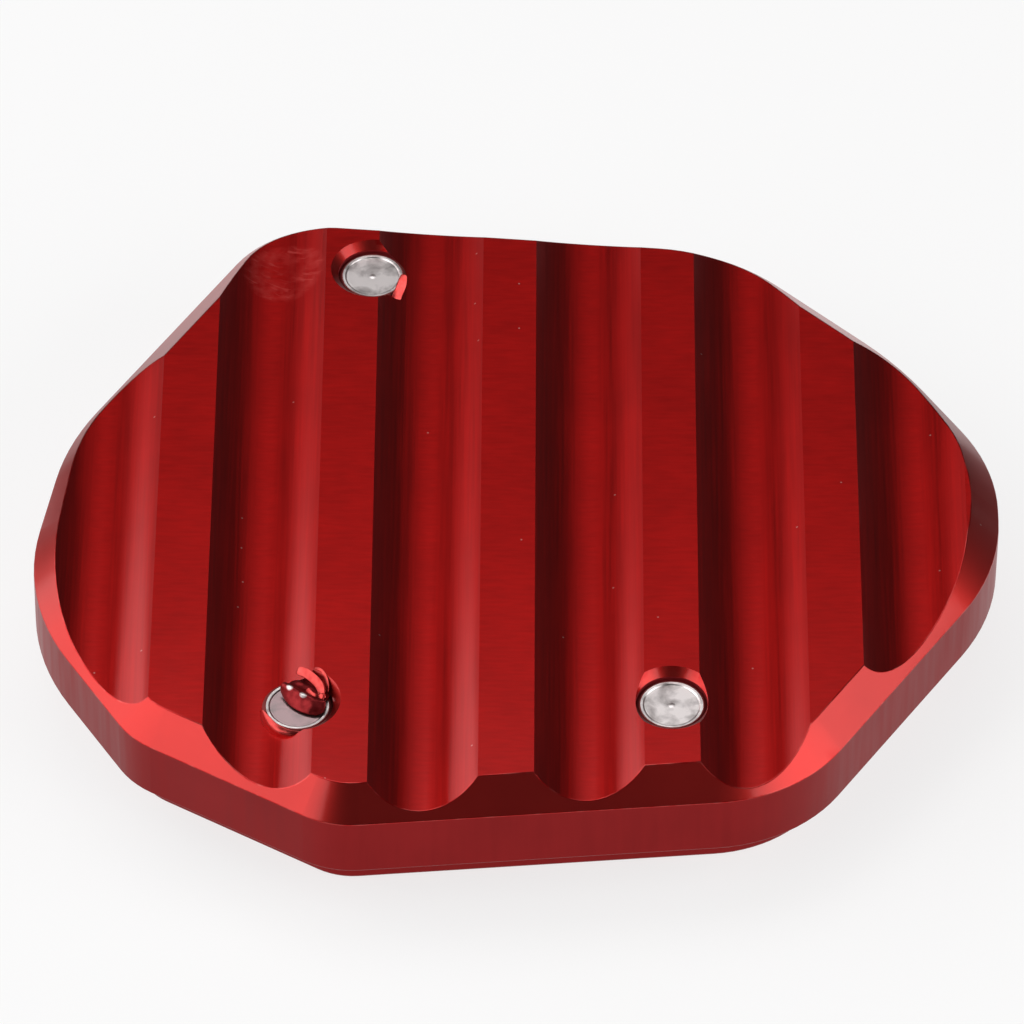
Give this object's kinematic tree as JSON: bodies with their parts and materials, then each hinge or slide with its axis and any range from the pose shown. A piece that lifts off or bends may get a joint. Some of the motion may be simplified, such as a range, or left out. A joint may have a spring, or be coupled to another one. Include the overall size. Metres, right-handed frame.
{
  "type": "kickstand foot enlarger",
  "caption": "Rounded plate with milled tread grooves on its ground face, and a C-shaped clamp and countersunk screws that hold it to the foot of a motorbike's side stand.",
  "frame": {"origin": "centre of the bounding box, on the clamp plate's flat outer face", "axes": "+X across the tread grooves, towards the side where the stand's leg leaves the clamp; +Y along the grooves, from the front edge to the back edge; +Z out of the ground face"},
  "size_m": [0.0835, 0.073, 0.013],
  "materials": {
    "red_anodised_aluminium": "machined, then anodised red with a satin gloss",
    "screw_steel": "bright zinc plated, with a turned end"
  },
  "bodies": {
    "root": {"base_plate": "red_anodised_aluminium", "clamp_plate": "red_anodised_aluminium", "clamp_screws": "screw_steel"}
  },
  "joints": []
}
